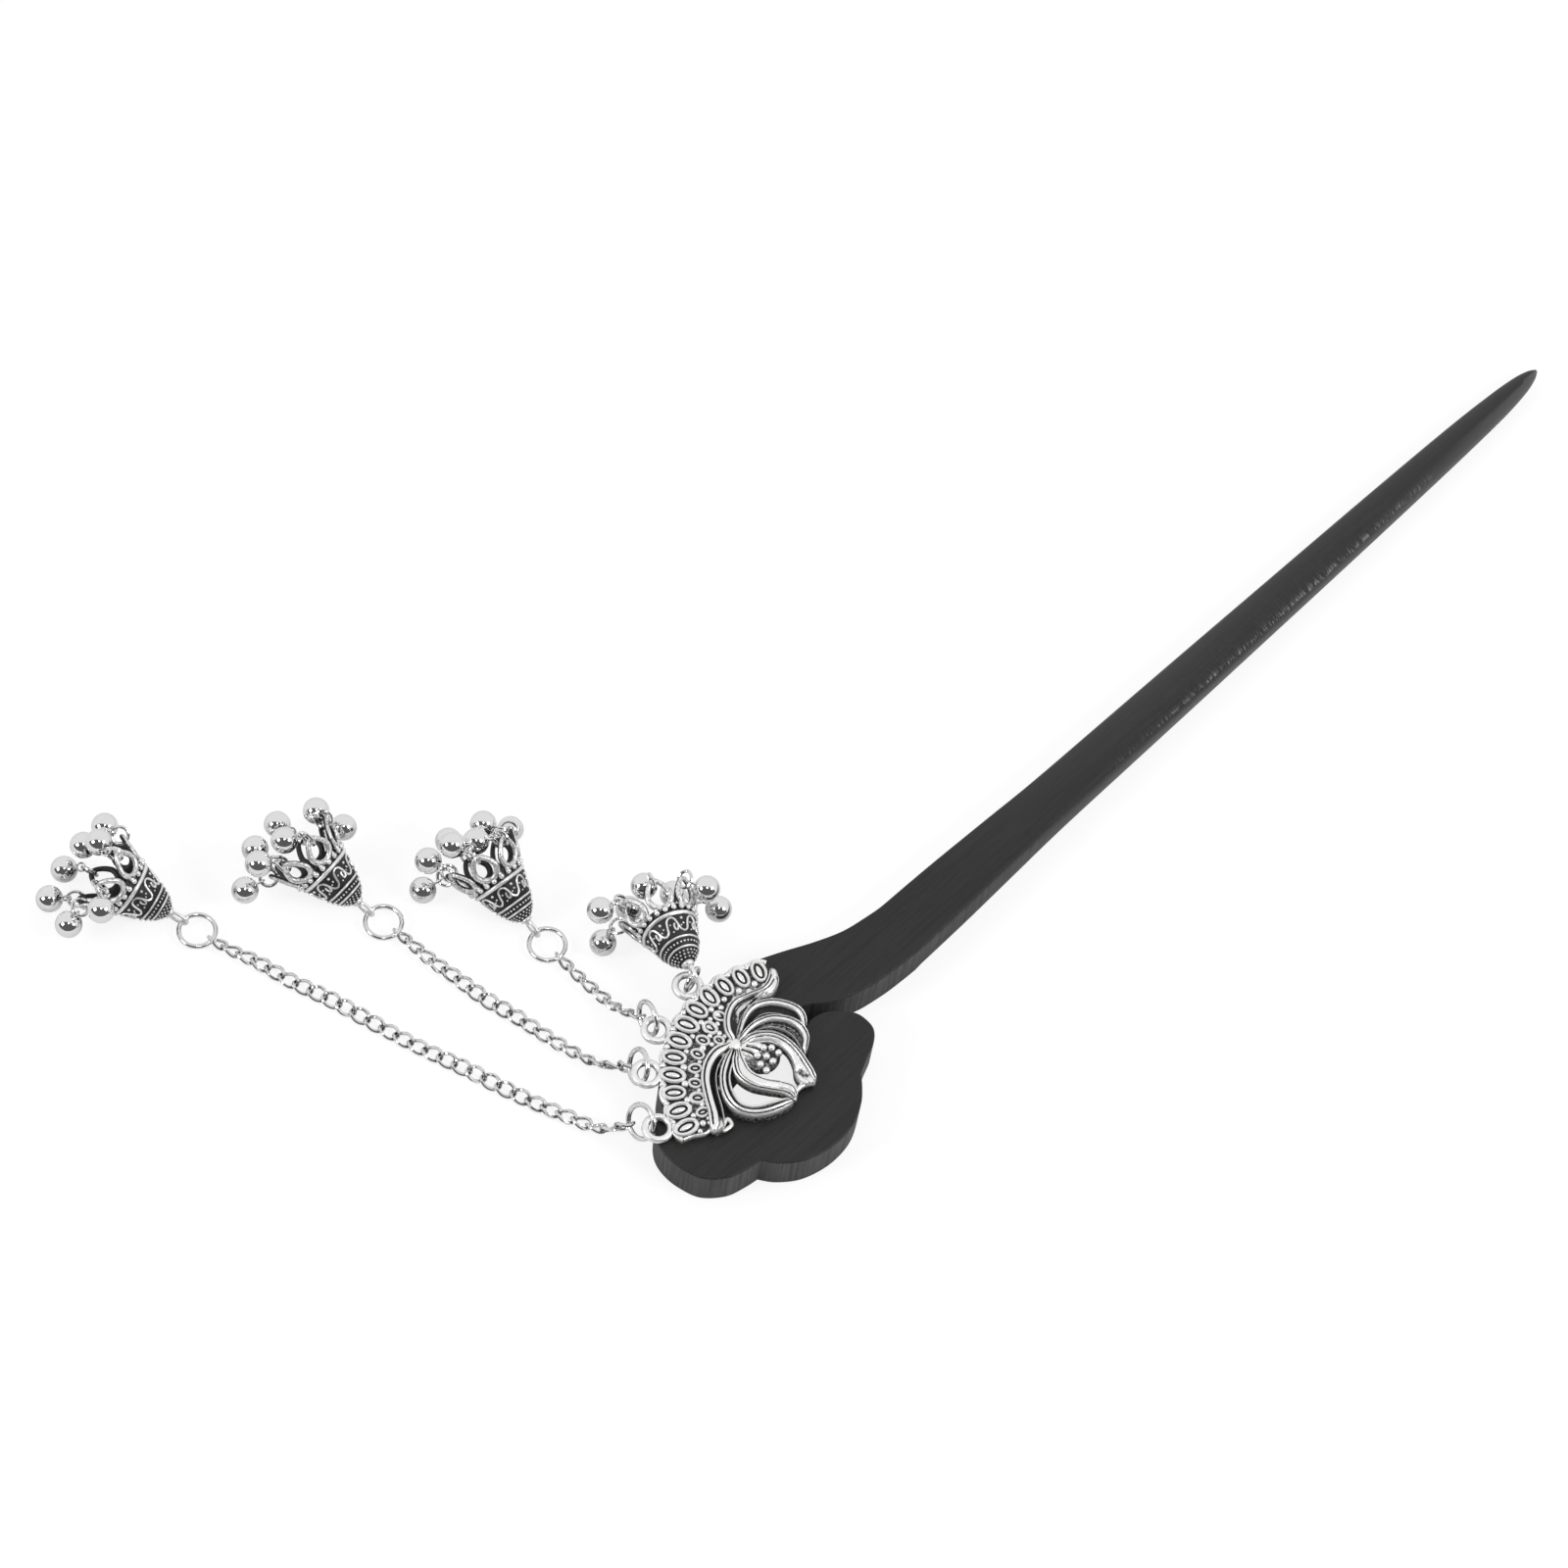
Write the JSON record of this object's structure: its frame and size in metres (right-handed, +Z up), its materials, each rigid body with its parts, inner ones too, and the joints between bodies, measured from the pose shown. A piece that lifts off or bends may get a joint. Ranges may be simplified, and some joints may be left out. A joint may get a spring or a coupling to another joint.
{
  "type": "hair stick",
  "caption": "Dark wooden hair stick with a curled head, a cast silver-coloured lotus and fan on it, fine chains and bell-shaped drops ringed with balls.",
  "frame": {"origin": "underside of the wood at the root of the straight shank, on the shank's centreline", "axes": "+X along the shank towards its point, +Y towards the side on which the chains lie, +Z up from the surface that the stick lies on"},
  "size_m": [0.2267, 0.105, 0.0132],
  "materials": {
    "dark_wood": "satin",
    "aged_silver": "antiqued, bright on the raised parts and dark in the recesses",
    "bright_silver": "polished"
  },
  "bodies": {
    "root": {"stick": "dark_wood", "lotus_mount": "aged_silver", "jump_ring_1": "bright_silver", "jump_ring_2": "bright_silver", "jump_ring_3": "bright_silver", "jump_ring_4": "bright_silver", "chain_1": "bright_silver", "chain_2": "bright_silver", "chain_3": "bright_silver", "end_ring_1": "bright_silver", "end_ring_2": "bright_silver", "end_ring_3": "bright_silver", "bell_1": "aged_silver", "bell_2": "aged_silver", "bell_3": "aged_silver", "bell_4": "aged_silver", "drop_rings_1": "bright_silver", "drop_rings_2": "bright_silver", "drop_rings_3": "bright_silver", "drop_rings_4": "bright_silver", "balls_1": "bright_silver", "balls_2": "bright_silver", "balls_3": "bright_silver", "balls_4": "bright_silver"}
  },
  "joints": []
}
